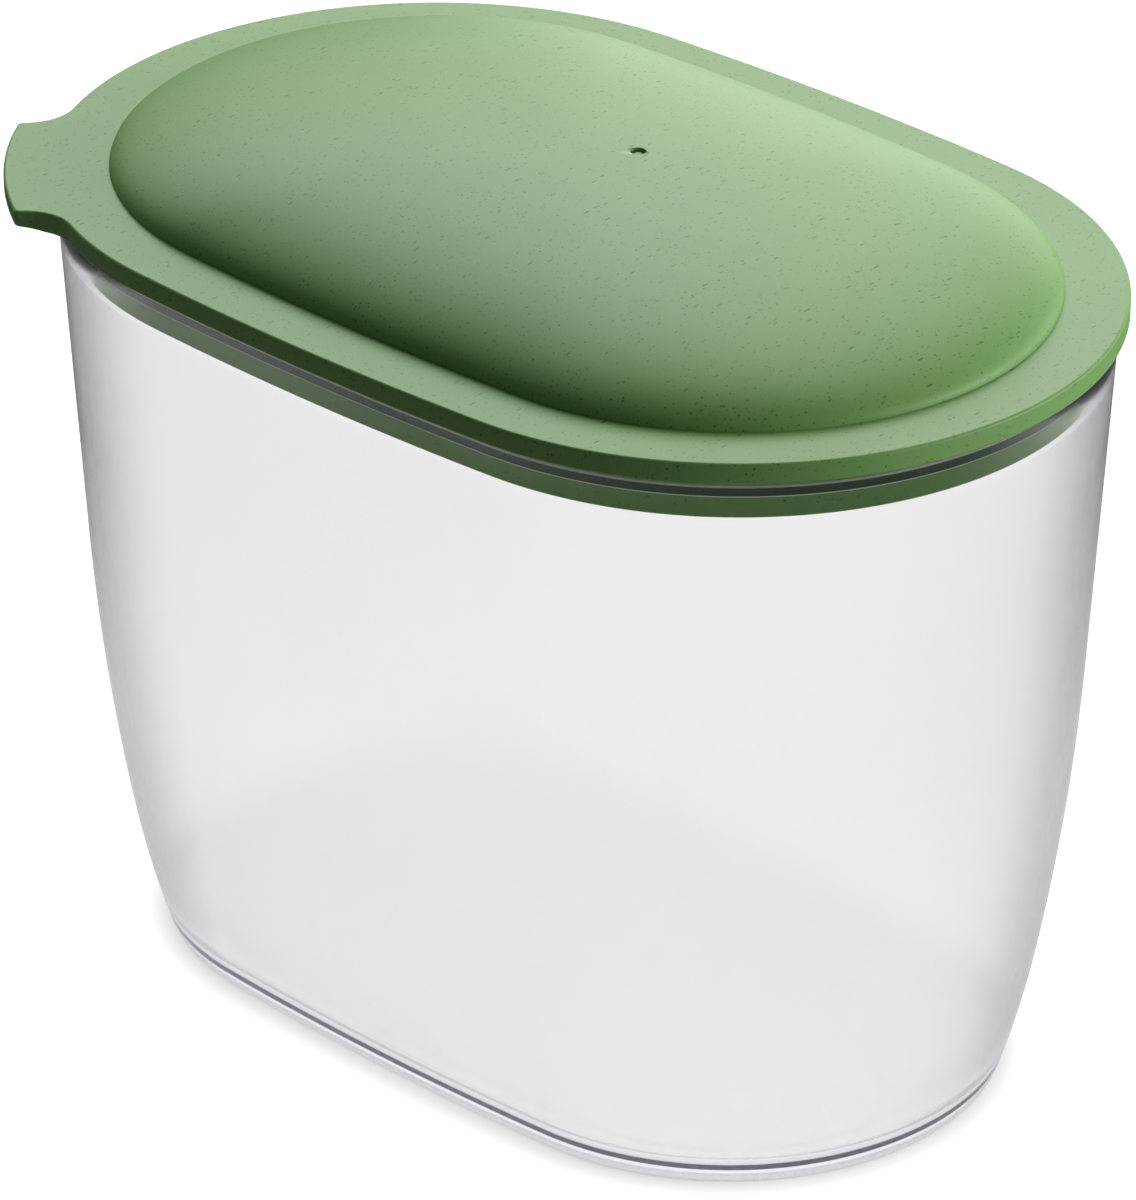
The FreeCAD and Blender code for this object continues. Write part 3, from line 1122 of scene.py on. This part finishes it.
@dataclass
class Studio:
    """White floor and surroundings that are lit from one side, soft lamps, and the camera."""

    azimuth: float = math.radians(43.40)
    elevation: float = math.radians(28.55)
    roll: float = math.radians(-0.08)
    camera_spot: tuple = (876.7 * MM, -933.4 * MM, 780.4 * MM)
    lens: float = 221.4
    view_reach: float = 50.0
    shift: tuple = (0.0092, -0.0018)
    aim: tuple = (0.0, 0.0, 170.0 * MM)
    lit_side: tuple = (-0.10, 0.80, 0.60)
    lit_from: float = -0.45
    lit_to: float = 0.55
    unlit_glow: float = 0.20
    sky_light: float = 0.20
    sky_gloss: float = 0.19
    floor_size: float = 6.0
    floor_colour: float = 0.25
    floor_bounce: float = 0.35
    floor_gloss: float = 0.10
    near_gloss: float = 0.6
    # Painted contact shadow on the floor: how far ambient occlusion reaches, and how far it dims the floor's
    # glow.
    shadow_reach: float = 8.0 * MM
    shadow_samples: int = 8
    shadow_glow: float = 0.58
    open_glow: float = 1.0
    shadow_share: tuple = (0.25, 0.80)
    far_side: tuple = (-0.687, 0.727, 0.0)
    far_from: float = -0.6
    far_to: float = 0.2
    inner_light: float = 0.48
    near_reach: tuple = (0.16, 0.30)
    sky_white: float = 0.5
    lamps: tuple = (
        Lamp("rear_lamp", (-0.911, 0.964, 1.065), (0.9, 0.6), 7.5),
        Lamp("left_rear_lamp", (-1.354, 0.404, 0.921), (0.6, 0.6), 2.8),
        Lamp("high_lamp", (-0.505, 0.766, 1.481), (0.6, 0.6), 4.9),
        Lamp("low_rear_lamp", (-0.753, 1.394, 0.393), (0.8, 0.5), 4.4),
        Lamp("low_right_rear_lamp", (0.346, 1.546, 0.393), (0.6, 0.6), 4.1),
        Lamp("right_lamp", (1.323, 0.872, 0.393), (1.2, 0.6), 9.5),
    )

    def camera(self) -> None:
        """Place the camera at the view of the reference."""
        data = bpy.data.cameras.new("camera")
        data.lens = self.lens
        data.shift_x, data.shift_y = self.shift
        data.clip_end = self.view_reach
        made = bpy.data.objects.new("camera", data)
        turn = Matrix.Rotation(self.azimuth, 4, "Z") @ Matrix.Rotation(math.pi / 2 - self.elevation, 4, "X")
        made.matrix_world = Matrix.Translation(self.camera_spot) @ turn @ Matrix.Rotation(self.roll, 4, "Z")
        bpy.context.scene.collection.objects.link(made)
        bpy.context.scene.camera = made

    def seen_through(
        self, board: NodeBoard, path: bpy.types.bpy_prop_collection, way: bpy.types.NodeSocket, near: object
    ) -> bpy.types.NodeSocket:
        """White that is seen through clear plastic: all round, or after a reflection on the far side.

        Args:
            board: Board of the surroundings.
            path: Outputs of a Light Path node.
            way: Direction from the jar.
            near: Share of the white that is close by, and so shows after a reflection on any side.

        Returns:
            Strength of the white, which is low for light that goes on to a matte surface.
        """
        far = board.add(
            "ShaderNodeMapRange",
            {
                "Value": board.facing(way, self.far_side),
                "From Min": self.far_from,
                "From Max": self.far_to,
            },
            interpolation_type="SMOOTHSTEP",
        )
        straight = board.math("LESS_THAN", path["Glossy Depth"], FIRST_BOUNCE)
        share = board.math("MAXIMUM", straight, far.outputs["Result"])
        share = board.math("MAXIMUM", share, near)
        clear = board.math("LESS_THAN", path["Diffuse Depth"], FIRST_BOUNCE)
        level = board.add(
            "ShaderNodeMix", {"Factor": clear, "A": self.inner_light, "B": share}, data_type="FLOAT"
        )
        return board.math("MULTIPLY", path["Is Transmission Ray"], level.outputs["Result"])

    def world(self) -> None:
        """Surround the jar with white that is seen all round and lights it from one side."""
        world = bpy.data.worlds.new("surroundings")
        world.use_nodes = True
        world.node_tree.nodes.clear()
        board = NodeBoard(world.node_tree)
        path = board.add("ShaderNodeLightPath").outputs
        way = board.add("ShaderNodeTexCoord").outputs["Generated"]
        glow = board.add(
            "ShaderNodeMapRange",
            {
                "Value": board.facing(way, self.lit_side),
                "From Min": self.lit_from,
                "From Max": self.lit_to,
                "To Min": self.unlit_glow,
            },
            interpolation_type="SMOOTHSTEP",
        )
        share = board.span(path["Is Glossy Ray"], self.sky_light, self.sky_gloss)
        light = board.math("MULTIPLY", glow.outputs["Result"], share)
        through = self.seen_through(board, path, way, self.sky_white)
        white = board.math("MAXIMUM", path["Is Camera Ray"], through)
        strength = board.math("MAXIMUM", light, white)
        sky = board.add("ShaderNodeBackground", {"Color": WHITE, "Strength": strength})
        board.add("ShaderNodeOutputWorld", {"Surface": sky.outputs["Background"]})
        bpy.context.scene.world = world

    def floor(self) -> None:
        """Lay a pale floor that takes the jar's shadow, partly cast by the lamps and partly a painted
        contact shadow from ambient occlusion, and sends little light back up.
        """
        bm = bmesh.new()
        bmesh.ops.create_grid(bm, x_segments=1, y_segments=1, size=self.floor_size / 2)
        mesh = bpy.data.meshes.new("floor")
        bm.to_mesh(mesh)
        bm.free()
        floor = bpy.data.objects.new("floor", mesh)
        bpy.context.scene.collection.objects.link(floor)
        material, board, output = new_material("pale_floor")
        path = board.add("ShaderNodeLightPath").outputs
        place = board.add("ShaderNodeTexCoord").outputs["Object"]
        offset = board.add("ShaderNodeVectorMath", {0: place, 1: self.aim}, operation="SUBTRACT")
        way = board.add("ShaderNodeVectorMath", {0: offset.outputs["Vector"]}, operation="NORMALIZE")
        reach = board.add("ShaderNodeVectorMath", {0: place}, operation="LENGTH")
        close = board.add(
            "ShaderNodeMapRange",
            {
                "Value": reach.outputs["Value"],
                "From Min": self.near_reach[0],
                "From Max": self.near_reach[1],
                "To Min": 1.0,
                "To Max": 0.0,
            },
        )
        through = self.seen_through(board, path, way.outputs["Vector"], close.outputs["Result"])
        bounce = board.math("MULTIPLY", path["Is Diffuse Ray"], self.floor_bounce)
        shown = board.math("MULTIPLY", path["Is Camera Ray"], self.floor_colour)
        matte = board.add("ShaderNodeBsdfDiffuse", {"Color": board.math("MAXIMUM", bounce, shown)})
        # Painted contact shadow: ambient occlusion darkens the floor's glow as the camera sees it.
        open_share = board.add(
            "ShaderNodeAmbientOcclusion", {"Distance": self.shadow_reach}, samples=self.shadow_samples
        )
        near = board.add(
            "ShaderNodeMapRange",
            {
                "Value": open_share.outputs["AO"],
                "From Min": self.shadow_share[0],
                "From Max": self.shadow_share[1],
                "To Min": self.shadow_glow,
                "To Max": self.open_glow,
            },
        )
        pale = board.math("MULTIPLY", path["Is Camera Ray"], near.outputs["Result"])
        opaque = board.math("SUBTRACT", path["Is Glossy Ray"], path["Is Transmission Ray"])
        nearby = board.math("MULTIPLY", close.outputs["Result"], self.near_gloss)
        mirrored = board.math("MULTIPLY", opaque, board.math("MAXIMUM", self.floor_gloss, nearby))
        glow = board.math("MAXIMUM", pale, mirrored)
        white = board.add("ShaderNodeEmission", {"Strength": board.math("MAXIMUM", glow, through)})
        both = board.add("ShaderNodeAddShader", {0: matte.outputs["BSDF"], 1: white.outputs["Emission"]})
        board.tree.links.new(both.outputs["Shader"], output.inputs["Surface"])
        mesh.materials.append(material)

    def build(self) -> None:
        """Set up everything around the jar."""
        self.camera()
        self.world()
        self.floor()
        for lamp in self.lamps:
            lamp.hang(Vector(self.aim))
        bpy.context.scene.view_settings.view_transform = "Standard"


def main() -> None:
    """Build the jar piece by piece, then the studio around it."""
    logging.basicConfig(level=logging.INFO, format="%(name)s: %(message)s")
    grain = moulded_grain()
    Container().build(grain)
    lid = Lid()
    lid.build(grain)
    SealRing().build(lid, grain)
    Studio().build()


if __name__ == "__main__":
    main()
